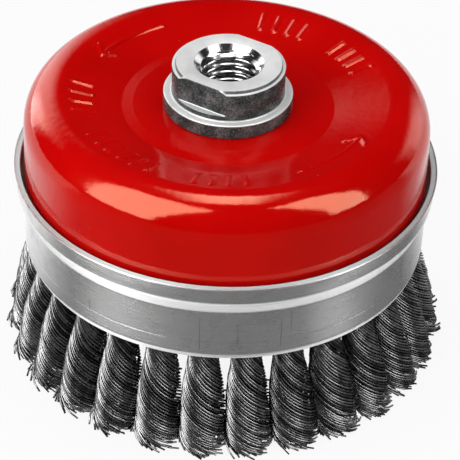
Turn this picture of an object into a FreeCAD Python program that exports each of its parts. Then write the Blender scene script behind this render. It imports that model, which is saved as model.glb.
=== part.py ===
"""Twist-knot wire cup brush for an angle grinder, standing on its wire tips.

Millimetres, +Z up. The origin is the centre of the circle that the wire tips stand on, and
+Z is the spindle's axis, out of the nut. Every height is counted up from the wire tips.
"""
import FreeCAD, Part
import Sketcher

import math
import os
import re

# Driving dimensions: alias, value, meaning
SIZES = [
    ("knot_count", 28, "twisted knots of wire round the brush"),
    ("first_azimuth", -94.7, "azimuth of the first knot, degrees"),
    ("knot_splay", 11.6, "lean of the knots and of the carrier's skirt, degrees"),
    ("knot_clearance", 0.18, "gap between the knots and the support ring's lower edge"),
    ("knot_root_radius", 3.3, "knot where it leaves the support ring"),
    ("knot_gap", 0.34, "gap between neighbouring knots at their tips"),
    ("strand_depth", 0.15, "depth of the valleys between strands, as a share of the knot's radius"),
    ("strand_lay_root", 33.0, "angle of the strands to the knot's axis inside the ring, degrees"),
    ("strand_lay_tip", 61.0, "the same at the trimmed tips, degrees"),
    ("root_spread", 6.0, "length over which a knot's two legs merge into one round"),
    ("bundle_radius", 1.9, "bunch of wire where it is folded through the carrier"),
    ("fold_slack", 0.1, "gap between the folded bunch and the carrier's sheet"),
    ("leg_overlap", 0.6, "length of the legs inside the knot's root"),
    ("trim_length", 24.4, "free wire below the support ring"),
    ("ring_sheet", 1.0, "support ring's sheet"),
    ("band_radius", 46.4, "support ring's lower band, outside"),
    ("band_height", 12.9, "support ring's lower edge to the joggle"),
    ("lip_length", 1.3, "length of the rolled-in lower edge"),
    ("lip_turn", 25.0, "turn of the rolled-in lower edge, degrees"),
    ("lip_bend", 5.0, "bend radius of the rolled-in lower edge, outside"),
    ("joggle_step", 1.3, "joggle's width"),
    ("joggle_rise", 3.2, "joggle's height"),
    ("joggle_bend", 2.2, "joggle's bend radii, outside"),
    ("collar_height", 4.7, "collar above the joggle"),
    ("collar_flare", 0.5, "widening of the collar up to its rim"),
    ("cup_sheet", 1.5, "outer cup's sheet"),
    ("cup_height", 21.0, "outer cup's edge to its boss"),
    ("seat_width", 0.6, "overlap of the cup's edge on the joggle"),
    ("cup_draft", 0.6, "narrowing of the cup's wall up to its shoulder"),
    ("cup_shoulder", 7.7, "outer cup's shoulder, outside radius"),
    ("boss_radius", 21.2, "raised flat boss under the nut"),
    ("boss_bend", 2.0, "bend at the boss's edge, outside"),
    ("step_depth", 1.5, "step down from the boss"),
    ("step_run", 2.6, "width of that step"),
    ("step_bend", 1.0, "bend at the foot of the step, outside"),
    ("dish_slope", 17.5, "rise of the dished ring towards the shoulder, degrees"),
    ("carrier_sheet", 1.5, "knot carrier's sheet"),
    ("disc_inset", 2.5, "knot carrier's flat disc, less than the boss by this"),
    ("carrier_bend", 3.0, "knot carrier's bends, outside"),
    ("skirt_height", 13.5, "knot carrier's skirt, up to its corner"),
    ("hole_height", 4.5, "middle of the punched holes above the skirt's lower edge"),
    ("hole_slack", 0.5, "punched holes round the bunch of wire"),
    ("punch_start", 3.0, "punches begin this far inside the skirt"),
    ("carrier_depth", 23.2, "knot carrier's disc to its lower edge"),
    ("flange_width", 1.9, "nut's flange outside its round body"),
    ("flange_thickness", 3.4, "nut's flange"),
    ("flange_chamfer", 0.4, "flange's outer edges"),
    ("nut_height", 10.7, "boss to the nut's top face"),
    ("nut_edge", 0.7, "rounding of the nut's top edge"),
    ("across_flats", 22.0, "wrench flats"),
    ("flat_depth", 1.6, "depth of each flat in the nut's round body"),
    ("flat_ledge", 1.3, "round body left below the flats"),
    ("flat_azimuth", -121.0, "azimuth of one wrench flat, degrees"),
    ("bore_radius", 5.918, "core hole of the M14 x 2 thread"),
    ("countersink_width", 1.88, "countersink in the nut's top, width and depth"),
    ("spigot_radius", 10.5, "nut's spigot through cup and carrier"),
    ("swage_width", 1.8, "spigot's end swaged out under the carrier"),
    ("swage_height", 2.0, "thickness of the swaged end"),
    ("swage_chamfer", 0.6, "edges of the swaged end"),
    ("press_gap", 0.02, "gap left between pressed pieces"),
    ("wire_gap", 0.25, "gap between the carrier's edge and the knots"),
]

STRANDS = 6           # ridges round a knot
TWIST_STEPS = 12      # straight steps along a knot, each with the same turn
FINE_STEPS = 260      # steps that add up the turn
FOLD_STEPS = 5        # straight steps round a fold
BUNDLE_SIDES = 6
FLARE_PLACE = 0.34    # how far down its free wire a knot widens, as a share of it
FLARE_POWER = 2.2     # how suddenly it does
SPREAD = 1.38         # a knot's root is this much wider across the carrier's edge
PINCH = 0.7           # and this much thinner along it

doc = FreeCAD.newDocument("WireCupBrush")


def make_sheet():
    sheet = doc.addObject("Spreadsheet::Sheet", "Sizes")
    for row, (alias, number, meaning) in enumerate(SIZES, 1):
        sheet.set("A%d" % row, meaning)
        sheet.set("B%d" % row, str(number))
        sheet.setAlias("B%d" % row, alias)
    doc.recompute()
    return sheet


sizes = make_sheet()


def tie(text):
    """A size's formula, with each alias (a word with an underscore) read from the sheet."""
    return re.sub(r"[a-z]+(?:_[a-z]+)+", r"Sizes.\g<0>", text)


def value(text):
    return float(sizes.evalExpression(tie(text)))


# Heights above the wire tips, and radii, that several pieces share
JOGGLE_LOW = "(trim_length + band_height)"
JOGGLE_HIGH = "(%s + joggle_rise)" % JOGGLE_LOW
RING_TOP = "(%s + collar_height)" % JOGGLE_HIGH
RING_SKIN = "(ring_sheet * sqrt(joggle_step^2 + joggle_rise^2) / joggle_rise)"
CUP_EDGE_RADIUS = "(band_radius - ring_sheet + seat_width)"
CUP_EDGE = ("(%s + (seat_width - ring_sheet + press_gap + %s) * joggle_rise / joggle_step)"
            % (JOGGLE_LOW, RING_SKIN))
BOSS = "(%s + cup_height)" % CUP_EDGE
DISC = "(%s - cup_sheet)" % BOSS
DISC_UNDER = "(%s - carrier_sheet)" % DISC
SKIRT_EDGE = "(%s - carrier_depth)" % DISC
SKIRT_CORNER = "(%s + skirt_height)" % SKIRT_EDGE
SKIRT_SKIN = "(0.5 * carrier_sheet / cos(knot_splay))"
NUT_RADIUS = "(0.5 * across_flats + flat_depth)"
FLANGE_RADIUS = "(%s + flange_width)" % NUT_RADIUS
SWAGE_RADIUS = "(spigot_radius + swage_width)"
NUT_TOP = "(%s + nut_height)" % BOSS
SWAGE_END = "(%s - swage_height)" % DISC_UNDER
LIP_RADIUS = "(band_radius - lip_length * sin(lip_turn) - ring_sheet * cos(lip_turn))"


def knot_line(height):
    """Radius of the knots' centre line at a height."""
    return ("(%s - knot_clearance - knot_root_radius + (trim_length - %s) * tan(knot_splay))"
            % (LIP_RADIUS, height))


TIP_RADIUS = "(%s * sin(180 / knot_count) - 0.5 * knot_gap)" % knot_line("0")


def skirt_normal():
    """Out of the skirt's outer face, at azimuth 0."""
    splay = math.radians(value("knot_splay"))
    return FreeCAD.Vector(math.cos(splay), 0, math.sin(splay))


def hole_middle():
    """Middle of a punched hole, half way through the skirt, at azimuth 0."""
    height = "(%s + hole_height)" % SKIRT_EDGE
    return FreeCAD.Vector(value(knot_line(height)), 0, value(height))


def knot_station(index):
    """Turns what is made at azimuth 0 to a knot's place round the brush."""
    azimuth = value("first_azimuth + %d * 360 / knot_count" % index)
    return FreeCAD.Placement(FreeCAD.Vector(), FreeCAD.Rotation(FreeCAD.Vector(0, 0, 1), azimuth))


def bind(sketch, kind, *args, formula):
    """A dimension of the sketch that follows a formula of the sheet."""
    index = sketch.addConstraint(Sketcher.Constraint(kind, *args, value(formula)))
    sketch.setExpression("Constraints[%d]" % index, tie(formula))


def unit(a, b):
    d = b.sub(a)
    return d.multiply(1.0 / d.Length)


def draw_bend(sketch, pin, before, after, corner, back, ahead, bend):
    """An arc of a bound radius, tangent to the sides before and after a corner."""
    radius, half = value(bend), back.getAngle(ahead) / 2
    start = corner + back * (radius / math.tan(half))
    end = corner + ahead * (radius / math.tan(half))
    inward = (back + ahead).normalize()
    crown = corner + inward * (radius / math.sin(half) - radius)
    left_turn = back.cross(ahead).z < 0
    ends = (start, end) if left_turn else (end, start)
    arc = sketch.addGeometry(Part.Arc(ends[0], crown, ends[1]))
    first, last = (1, 2) if left_turn else (2, 1)
    sketch.addConstraint(Sketcher.Constraint("Tangent", before, 2, arc, first))
    sketch.addConstraint(Sketcher.Constraint("Tangent", after, 1, arc, last))
    sketch.addConstraint(Sketcher.Constraint("PointOnObject", pin, 1, before))
    sketch.addConstraint(Sketcher.Constraint("PointOnObject", pin, 1, after))
    bind(sketch, "Radius", arc, formula=bend)


def draw_outline(sketch, corners, closed=True):
    """Straight sides through corners (x, y, bend), all formulas: bend None is a sharp corner.

    Each corner is a construction point pinned at its place, which its two sides meet or aim at.
    """
    points = [FreeCAD.Vector(value(x), value(y), 0) for x, y, _ in corners]
    pins = []
    for point, (x, y, _) in zip(points, corners):
        pin = sketch.addGeometry(Part.Point(point), True)
        bind(sketch, "DistanceX", -1, 1, pin, 1, formula=x)
        bind(sketch, "DistanceY", -1, 1, pin, 1, formula=y)
        pins.append(pin)

    def trim(i, towards):
        """Where the side from corner i towards its neighbour begins."""
        bend = corners[i][2]
        if not bend:
            return points[i]
        back, ahead = unit(points[i], points[i - 1]), unit(points[i], points[(i + 1) % len(points)])
        return points[i] + unit(points[i], points[towards]) * (value(bend) / math.tan(back.getAngle(ahead) / 2))

    count = len(points) if closed else len(points) - 1
    sides = []
    for i in range(count):
        j = (i + 1) % len(points)
        sides.append(sketch.addGeometry(Part.LineSegment(trim(i, j), trim(j, i))))
    for i, (_, _, bend) in enumerate(corners):
        before = sides[i - 1] if closed or i else None
        after = sides[i] if i < count else None
        if bend:
            draw_bend(sketch, pins[i], before, after, points[i], unit(points[i], points[i - 1]),
                      unit(points[i], points[(i + 1) % len(points)]), bend)
            continue
        if before is not None:
            sketch.addConstraint(Sketcher.Constraint("Coincident", before, 2, pins[i], 1))
        if after is not None:
            sketch.addConstraint(Sketcher.Constraint("Coincident", after, 1, pins[i], 1))


def pressed_sheet(name, corners, thickness):
    """A round pressing: its outer skin's outline, one sheet thick inwards, turned about the axis."""
    outline = doc.addObject("Sketcher::SketchObject", name + "_outline")
    outline.Placement.Rotation = FreeCAD.Rotation(FreeCAD.Vector(1, 0, 0), 90)
    draw_outline(outline, corners, closed=False)
    section = doc.addObject("Part::Offset2D", name + "_section")
    section.Source = outline
    section.setExpression("Value", "-" + tie(thickness))
    section.Mode = "Skin"
    section.Join = "Intersection"
    section.Fill = True
    turned = doc.addObject("Part::Revolution", name)
    turned.Source = section
    turned.Axis = (0, 0, 1)
    turned.Angle = 360
    turned.Solid = True
    turned.Label = name
    doc.recompute()
    return turned


def make_outer_cup():
    """Pressed cup: boss, dished ring, round shoulder, and a wall that stands on the ring's joggle."""
    foot_radius = "(boss_radius + step_run)"
    foot_height = "(%s - step_depth)" % BOSS
    crown_radius = "(%s - cup_draft)" % CUP_EDGE_RADIUS
    crown = "(%s + (%s - %s) * tan(dish_slope))" % (foot_height, crown_radius, foot_radius)
    return pressed_sheet("outer_cup", [
        ("spigot_radius + press_gap", BOSS, None),
        ("boss_radius", BOSS, "boss_bend"),
        (foot_radius, foot_height, "step_bend"),
        (crown_radius, crown, "cup_shoulder"),
        (CUP_EDGE_RADIUS, CUP_EDGE, None)], "cup_sheet")


def make_support_ring():
    """Rolled band: rolled-in lower edge, straight band, joggle that seats the cup, open collar."""
    return pressed_sheet("support_ring", [
        ("band_radius + joggle_step + collar_flare", RING_TOP, None),
        ("band_radius + joggle_step", JOGGLE_HIGH, "joggle_bend"),
        ("band_radius", JOGGLE_LOW, "joggle_bend"),
        ("band_radius", "trim_length + lip_length * cos(lip_turn)", "lip_bend"),
        ("band_radius - lip_length * sin(lip_turn)", "trim_length", None)], "ring_sheet")


def make_knot_carrier():
    """Pressed inner cup: flat disc under the boss, cone, and a splayed skirt punched for the knots."""
    pressing = pressed_sheet("carrier_pressing", [
        ("spigot_radius + press_gap", DISC, None),
        ("boss_radius - disc_inset", DISC, "carrier_bend"),
        ("%s + %s" % (knot_line(SKIRT_CORNER), SKIRT_SKIN), SKIRT_CORNER, "carrier_bend"),
        ("%s + %s" % (knot_line(SKIRT_EDGE), SKIRT_SKIN), SKIRT_EDGE, None)], "carrier_sheet")
    punches = []
    for index in range(int(value("knot_count"))):
        punch = doc.addObject("Part::Cylinder", "punch_%02d" % (index + 1))
        punch.setExpression("Radius", tie("bundle_radius + hole_slack"))
        punch.setExpression("Height", tie("2 * punch_start"))
        tilt = FreeCAD.Rotation(FreeCAD.Vector(0, 1, 0), 90 - value("knot_splay"))
        start = hole_middle() - skirt_normal() * value("punch_start")
        punch.Placement = knot_station(index) * FreeCAD.Placement(start, tilt)
        punches.append(punch)
    punching = doc.addObject("Part::Compound", "punches")
    punching.Links = punches
    carrier = doc.addObject("Part::Cut", "knot_carrier")
    carrier.Base = pressing
    carrier.Tool = punching
    carrier.Label = "knot_carrier"
    doc.recompute()
    one = punches[0].Shape.common(pressing.Shape).Volume
    if abs(pressing.Shape.Volume - carrier.Shape.Volume - len(punches) * one) > 0.01 * one:
        raise ValueError("the punched holes don't all cut the skirt")
    return carrier


def make_arbor_nut():
    """Turned nut: swaged spigot, flange, round body with two wrench flats, core hole of the thread."""
    body = doc.addObject("PartDesign::Body", "arbor_nut")
    body.Label = "arbor_nut"
    flange_top = "(%s + flange_thickness)" % BOSS
    planes = {feature.Role: feature for feature in body.Origin.OriginFeatures}

    half_section = body.newObject("Sketcher::SketchObject", "nut_half_section")
    half_section.AttachmentSupport = (planes["XZ_Plane"], [""])
    half_section.MapMode = "FlatFace"
    draw_outline(half_section, [
        ("bore_radius", "%s + swage_chamfer" % SWAGE_END, None),
        ("bore_radius + swage_chamfer", SWAGE_END, None),
        ("%s - swage_chamfer" % SWAGE_RADIUS, SWAGE_END, None),
        (SWAGE_RADIUS, "%s + swage_chamfer" % SWAGE_END, None),
        (SWAGE_RADIUS, DISC_UNDER, None),
        ("spigot_radius", DISC_UNDER, None),
        ("spigot_radius", BOSS, None),
        ("%s - flange_chamfer" % FLANGE_RADIUS, BOSS, None),
        (FLANGE_RADIUS, "%s + flange_chamfer" % BOSS, None),
        (FLANGE_RADIUS, "%s - flange_chamfer" % flange_top, None),
        ("%s - flange_chamfer" % FLANGE_RADIUS, flange_top, None),
        (NUT_RADIUS, flange_top, None),
        (NUT_RADIUS, NUT_TOP, "nut_edge"),
        ("bore_radius + countersink_width", NUT_TOP, None),
        ("bore_radius", "%s - countersink_width" % NUT_TOP, None)])
    turned = body.newObject("PartDesign::Revolution", "nut_turning")
    turned.Profile = half_section
    turned.ReferenceAxis = (half_section, ["V_Axis"])
    turned.Angle = 360
    doc.recompute()

    outlines = body.newObject("Sketcher::SketchObject", "flat_outlines")
    outlines.AttachmentSupport = (planes["XY_Plane"], [""])
    outlines.MapMode = "FlatFace"
    outlines.setExpression("AttachmentOffset.Base.z", tie("%s + flat_ledge" % flange_top))
    for side in ("", "-"):
        inner, outer = side + "0.5 * across_flats", side + "across_flats"
        draw_outline(outlines, [
            (inner, "-across_flats", None), (outer, "-across_flats", None),
            (outer, "across_flats", None), (inner, "across_flats", None)])
    flats = body.newObject("PartDesign::Pocket", "wrench_flats")
    flats.Profile = outlines
    flats.Type = "ThroughAll"
    flats.Reversed = True
    doc.recompute()
    if flats.Shape.Volume > 0.999 * turned.Shape.Volume:
        raise ValueError("the wrench flats cut nothing")
    body.Placement.Rotation = FreeCAD.Rotation(FreeCAD.Vector(0, 0, 1), value("flat_azimuth"))
    return body


def skin_between(lower, upper):
    """Triangles between two rings of as many points."""
    faces = []
    for i in range(len(lower)):
        j = (i + 1) % len(lower)
        for corners in ((lower[i], lower[j], upper[j]), (lower[i], upper[j], upper[i])):
            faces.append(Part.Face(Part.makePolygon(list(corners) + [corners[0]])))
    return faces


def faceted_solid(rings):
    faces = [Part.Face(Part.makePolygon(ring + [ring[0]])) for ring in (rings[0], rings[-1])]
    for lower, upper in zip(rings, rings[1:]):
        faces += skin_between(lower, upper)
    solid = Part.Solid(Part.makeShell(faces))
    if solid.Volume < 0:
        solid.reverse()
    return solid


def knot_radius(height):
    """A knot widens below the ring, up to the room that its neighbours leave it at that height."""
    below = max(0.0, 1 - height / value("trim_length"))
    share = 1 - math.exp(-(below / FLARE_PLACE) ** FLARE_POWER)
    root = value("knot_root_radius")
    room = value(TIP_RADIUS) - height * value("tan(knot_splay) * sin(180 / knot_count)")
    return root + share * (room - root)


def strand_marks(top):
    """Heights down a knot with the turn of its strands there, the same turn from one to the next."""
    trim, step = value("trim_length"), top / FINE_STEPS
    root, tip = value("tan(strand_lay_root)"), value("tan(strand_lay_tip)")
    fine = [(top, 0.0)]
    for k in range(FINE_STEPS):
        middle = top - (k + 0.5) * step
        lay = root + (tip - root) * max(0.0, 1 - middle / trim)
        fine.append((top - (k + 1) * step, fine[-1][1] + lay * step / knot_radius(middle)))
    total = fine[-1][1]
    marks = [next(mark for mark in fine if mark[1] >= total * k / TWIST_STEPS) for k in range(TWIST_STEPS)]
    return marks + [(0.0, total)]


def knot_rope(top):
    """The twisted part of a knot at azimuth 0, from its root down to its trimmed tips."""
    valley, merge = 1 - value("strand_depth"), value("root_spread")
    rings = []
    for height, turn in strand_marks(top):
        spread = max(0.0, 1 - (top - height) / merge)
        across, along = 1 + (SPREAD - 1) * spread, 1 - (1 - PINCH) * spread
        centre = value(knot_line("%r" % height))
        ring = []
        for k in range(2 * STRANDS):
            angle = turn + k * math.pi / STRANDS
            reach = knot_radius(height) * (valley if k % 2 else 1)
            ring.append(FreeCAD.Vector(centre + across * reach * math.cos(angle),
                                       along * reach * math.sin(angle), height))
        rings.append(ring)
    return faceted_solid(rings)


def knot_fold(top):
    """The bunch of wire folded through the carrier's hole, its legs run down into the knot."""
    out, side = skirt_normal(), FreeCAD.Vector(0, 1, 0)
    down = side.cross(out)
    fold, bundle = value("0.5 * carrier_sheet + fold_slack + bundle_radius"), value("bundle_radius")
    centre = hole_middle() + down * fold
    leg = down * ((centre.z - top + value("leg_overlap")) / -down.z)
    path = [centre + out * fold + leg]
    for step in range(FOLD_STEPS + 1):
        angle = math.pi * step / FOLD_STEPS
        path.append(centre + out * (fold * math.cos(angle)) - down * (fold * math.sin(angle)))
    path.append(centre - out * fold + leg)
    rings = []
    for i, point in enumerate(path):
        before = unit(path[i - 1], point) if i else unit(point, path[1])
        after = unit(point, path[i + 1]) if i + 1 < len(path) else before
        mitre = math.cos(before.getAngle(after) / 2)
        across = (before + after).normalize().cross(side)
        ring = []
        for k in range(BUNDLE_SIDES):
            angle = 2 * math.pi * (k + 0.5) / BUNDLE_SIDES
            ring.append(point + across * (bundle * math.cos(angle) / mitre) + side * (bundle * math.sin(angle)))
        rings.append(ring)
    return faceted_solid(rings)


def make_knots():
    """One knot, copied round the carrier, each copy in the punched hole that holds it."""
    top = value("%s - carrier_sheet * sin(knot_splay) - wire_gap" % SKIRT_EDGE)
    master = knot_rope(top).fuse(knot_fold(top))
    knots = []
    for index in range(int(value("knot_count"))):
        knot = doc.addObject("Part::Feature", "knot_%02d" % (index + 1))
        knot.Label = knot.Name
        knot.Shape = master.Solids[0].copy()
        knot.Placement = knot_station(index)
        knots.append(knot)
    return knots


def check(pieces):
    doc.recompute()
    for obj in doc.Objects:
        if "Invalid" in obj.State or "Error" in obj.State:
            raise ValueError("%s failed: %s" % (obj.Label, obj.State))
    for piece in pieces:
        shape = piece.Shape
        if shape.isNull() or not shape.isValid() or len(shape.Solids) != 1:
            raise ValueError("%s isn't one valid solid" % piece.Label)


pieces = [make_outer_cup(), make_support_ring(), make_knot_carrier(), make_arbor_nut()] + make_knots()
check(pieces)
os.makedirs("parts", exist_ok=True)
for piece in pieces:
    piece.Shape.exportStep("parts/%s.step" % piece.Label)
box = Part.makeCompound([piece.Shape for piece in pieces]).optimalBoundingBox(False)
print("%d pieces, %.2f x %.2f x %.2f mm, lowest point %.3f" % (
    len(pieces), box.XLength, box.YLength, box.ZLength, box.ZMin))
print("cup edge %.3f, boss %.3f, skirt edge %.3f, nut top %.3f, ring top %.3f" % tuple(
    value(height) for height in (CUP_EDGE, BOSS, SKIRT_EDGE, NUT_TOP, RING_TOP)))
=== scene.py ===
"""Looks of the twist-knot wire cup brush: every wire of its knots, its pressings and its nut.

Shapes are worked out in the frame's millimetres and written to the meshes in metres.
"""

import math

import bpy
import numpy as np
from mathutils import Matrix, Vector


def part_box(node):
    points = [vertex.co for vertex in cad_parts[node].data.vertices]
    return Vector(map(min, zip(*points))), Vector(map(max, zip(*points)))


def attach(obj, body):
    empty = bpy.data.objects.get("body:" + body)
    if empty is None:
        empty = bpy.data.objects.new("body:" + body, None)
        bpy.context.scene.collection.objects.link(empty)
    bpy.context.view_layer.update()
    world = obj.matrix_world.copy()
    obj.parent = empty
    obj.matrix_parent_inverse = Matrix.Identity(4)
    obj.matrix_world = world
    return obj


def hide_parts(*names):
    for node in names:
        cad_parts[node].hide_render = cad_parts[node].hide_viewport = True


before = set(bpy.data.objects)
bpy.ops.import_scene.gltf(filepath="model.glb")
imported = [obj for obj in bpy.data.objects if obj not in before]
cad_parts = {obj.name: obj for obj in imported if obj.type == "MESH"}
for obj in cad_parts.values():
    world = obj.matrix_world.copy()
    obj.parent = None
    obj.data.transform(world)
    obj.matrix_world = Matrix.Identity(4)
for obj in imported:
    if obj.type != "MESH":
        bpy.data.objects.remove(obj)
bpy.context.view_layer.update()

MM = 0.001
TAU = math.tau


def cad(node, corner, axis):
    """One coordinate of a node's box, in millimetres: corner 0 is the lowest, 1 the highest."""
    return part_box(node)[corner]["xyz".index(axis)] / MM


# Support ring
RING_SHEET = 1.0
RING_LOW = cad("support_ring", 0, "z")
RING_TOP = cad("support_ring", 1, "z")
RIM_RADIUS = cad("support_ring", 1, "x")
COLLAR_FLARE, JOGGLE_STEP, JOGGLE_RISE, COLLAR_HEIGHT = 0.5, 1.3, 3.2, 4.7
BAND_RADIUS = RIM_RADIUS - COLLAR_FLARE - JOGGLE_STEP
JOGGLE_HIGH = RING_TOP - COLLAR_HEIGHT
JOGGLE_LOW = JOGGLE_HIGH - JOGGLE_RISE
LIP_LENGTH, LIP_TURN = 1.3, math.radians(25)
JOGGLE_BEND, LIP_BEND = 2.2, 5.0
SCRIBE_HEIGHT, SCRIBE_DEPTH, SCRIBE_WIDTH = RING_LOW + 4.8, 0.07, 0.22
SCRIBE_ROOM = SCRIBE_WIDTH + 0.3
RIM_SPREAD = 0.45       # how much thicker than the sheet its sheared rim is
RIM_INNER, RIM_OUTER = ((0, -0.35), (0.15, -0.2)), ((-0.4, -0.12), (-0.18, 0), (-0.05, -0.02), (0, -0.2))
HEM_OUTER, HEM_INNER = ((0, 0.06), (-0.06, 0)), ((0.15, 0), (0, 0.15))
BURR, RIM_WAVE, BURR_DEPTH = 0.07, 0.05, 0.4
RING_SEGMENTS, RING_ARC = 480, 10

# Arbor nut
NUT_TOP = cad("arbor_nut", 1, "z")
SWAGE_END = cad("arbor_nut", 0, "z")
FLANGE_RADIUS = cad("arbor_nut", 1, "x")
NUT_HEIGHT, NUT_RADIUS, HALF_FLATS, FLANGE, FLAT_LEDGE = 10.7, 12.6, 11.0, 3.4, 1.3
FLAT_AZIMUTH = math.radians(-121)
SPIGOT_RADIUS, SWAGE_RADIUS, SWAGE_HEIGHT, SWAGE_CONE = 10.5, 12.3, 2.0, 1.2
MINOR_RADIUS, THREAD_DEPTH, PITCH, COUNTERSINK = 5.918, 1.08, 2.0, 1.88
ROOT_SHARE, FLANK_SHARE = 0.12, 0.7
TOP_CHAMFER, CHAMFER_FALL, EDGE_ROUND = 0.75, 0.9, 0.12
MOUTH_OUT, MOUTH_IN, MOUTH_DROP = 0.12, 0.02, 0.06      # the countersink's broken edge
NUT_SEGMENTS, NUT_ARC, THREAD_STEPS = 240, 5, 10

# Outer cup
BOSS = NUT_TOP - NUT_HEIGHT
CUP_EDGE = cad("outer_cup", 0, "z")
CUP_EDGE_RADIUS = cad("outer_cup", 1, "x")
CUP_SHEET, CUP_DRAFT, DISH_SLOPE = 1.5, 0.6, math.radians(17.5)
BOSS_RADIUS, STEP_RUN, STEP_DEPTH = 21.2, 2.6, 1.5
SOFT_STEP = 0.16        # the drop at the boss's edge as the enamel shows it, filled and soft
FIT_GAP, BOSS_BEND, FOOT_BEND, SHOULDER_BEND = 0.02, 2.0, 1.0, 7.7
CUP_SEGMENTS, CUP_ARC = 448, 14
RELIEF_STEP, SKIN_STEP, SKIN_DEPTH = 0.33, 2.5, 0.9

# Pressed marks on the cup's dished ring: plain bars and two arrows that show the way it turns
RELIEF_LOW, RELIEF_HIGH = 26.6, 37.6
MARK_CIRCLE, MARK_HEIGHT, MARK_EDGE = 32.6, 0.34, 0.32
BAR_LENGTH, BAR_WIDTH, BAR_PITCH, BARS_IN_GROUP = 4.6, 0.3, math.radians(6.2), 4
BAR_GROUPS = [math.radians(a) for a in (-137, -101, 22, 58, 176, 212)]
ARROWS = [math.radians(a) for a in (-44, 136)]
ARROW_LENGTH, ARROW_HEAD = math.radians(34), 2.5

# Knots. Their wires go from the carrier's punched hole down to the trimmed tips.
KNOTS = sum(name.startswith("knot_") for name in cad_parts) - 1     # the carrier starts so too
FIRST_AZIMUTH = math.radians(-94.7)
SPLAY = math.radians(11.6)
TIP_CIRCLE, ROOT_RADIUS = 46.47, 3.3
WIRE = 0.232
SKIRT_HEIGHT, SKIRT_GAP = 23.2, 0.55
SKIRT_EDGE = BOSS - CUP_SHEET - SKIRT_HEIGHT
ROPE_TOP = SKIRT_EDGE - SKIRT_GAP
HOLE_HEIGHT, BUNDLE, FOLD, FOLD_STEPS = 4.5, 1.9, 2.75, 3
LEG_POINTS = (0.35, 0.7)
SPREAD, PINCH, MERGE = 1.38, 0.7, 6.0
REACH = 52.6            # no wire's end stands further out than this, before the sweep
SWEEP, SWEEP_HEIGHT, SWEEP_LOSS = 0.9, 22.0, 0.35    # tips lean right, from how the brush was set down
SWEPT_REACH = REACH + 0.6
SEED = 500
LAYERS = [  # distance of the wires from the knot's surface, count, sides, steps along the rope
    (0.245, 28, 6, 34), (0.7, 25, 4, 24), (1.2, 19, 3, 16), (1.95, 12, 3, 12), (3.0, 8, 3, 10)]
STRAY_SIDES, STRAY_POINTS = 6, 12

# Outer radius of a knot, and how far its wires go round for each step down, by height
RADIUS_AT = [(0, 5.3), (4, 5.2), (8.2, 5.08), (12.7, 4.8), (15, 4.5), (17.1, 4.15), (19, 3.75),
             (21, 3.45), (24.4, 3.3)]
LAY_AT = [(0, 2.6), (2, 2.2), (6, 1.65), (13, 1.35), (18, 1.05), (22, 0.85), (26, 0.62), (36, 0.5)]
TURN_SAMPLES = 300

# How loose the wires of a rope lie, and how their tips are trimmed and frayed
EVEN_WIRES, EVEN_ENDS, SHORT_ENDS = 0.6, (0, 0.12), (0.1, 1.5)
STEP_CROWDING, PLACE_JITTER = 0.78, 0.1
RISE, RISE_LENGTH, SWAY, SWAY_LENGTH = 0.14, 16, 0.2, 22                # of a group of wires
OWN_RISE, OWN_RISE_LENGTH, OWN_SWAY, OWN_SWAY_LENGTH = 0.08, 9, 0.07, 12    # of each wire
TOP_LOOSENESS, LOOSEST = 0.3, 0.12
FRAY_HEIGHT, FRAY_CURVE, FRAY_LEAN, FRAY_TURN = 3.6, 1.6, 0.12, 0.05
FRAYED_WIRES, FRAYED, TIDY, INNERMOST = 0.3, (0.5, 1.9), (-0.3, 0.35), 0.15
RING_GAP, LIP_HEIGHT, LIP_INSET, RING_FOOT = 0.05, 1.6, 0.5, 0.7
# Each wire's random tone, and the depth inside the knot at which painted shade makes wires fully dark
DARK_WIRES, DARK, BRIGHT, SHADE_DEPTH = 0.3, (0.1, 0.5), (0.65, 1), 0.9

# Wires that have sprung out: curls on the knot's trailing flank and hairs at its foot
CURL = {"count": (1, 4), "height": (6.0, 19.0), "azimuth": (1.2, 2.0), "lean": 0.75,
        "bend": (0.35, 0.6), "sweep": (2.4, 4.2)}
HAIR = {"count": (2, 5), "height": (0.8, 4.5), "azimuth": (-0.6, 2.1), "lean": (0.25, 0.8),
        "bend": (3.0, 6.0), "sweep": (0.4, 0.75)}
STRAY_INSET, STRAY_RISE, STRAY_START, STRAY_LOWEST = 0.3, 0.7, -0.35, 0.25


def mesh_object(name, verts, faces, smooth=None):
    """A mesh from vertices in millimetres and arrays of faces, each array with its own corner count."""
    mesh = bpy.data.meshes.new(name)
    corners = np.concatenate([f.ravel() for f in faces]).astype(np.int32)
    sizes = np.concatenate([np.full(len(f), f.shape[1]) for f in faces]).astype(np.int32)
    starts = np.concatenate([[0], np.cumsum(sizes)[:-1]]).astype(np.int32)
    mesh.vertices.add(len(verts))
    mesh.vertices.foreach_set("co", (verts * MM).astype(np.float32).ravel())
    mesh.loops.add(len(corners))
    mesh.loops.foreach_set("vertex_index", corners)
    mesh.polygons.add(len(sizes))
    mesh.polygons.foreach_set("loop_start", starts)
    flags = np.ones(len(sizes), bool) if smooth is None else np.asarray(smooth, bool)
    mesh.polygons.foreach_set("use_smooth", flags)
    mesh.update(calc_edges=True)
    mesh.validate()
    obj = bpy.data.objects.new(name, mesh)
    bpy.context.scene.collection.objects.link(obj)
    return obj


def finish_piece(obj, node, material):
    """Gives a piece its material, and puts it in the place of a node."""
    obj.data.materials.append(material)
    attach(obj, "root")
    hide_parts(node)


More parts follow.
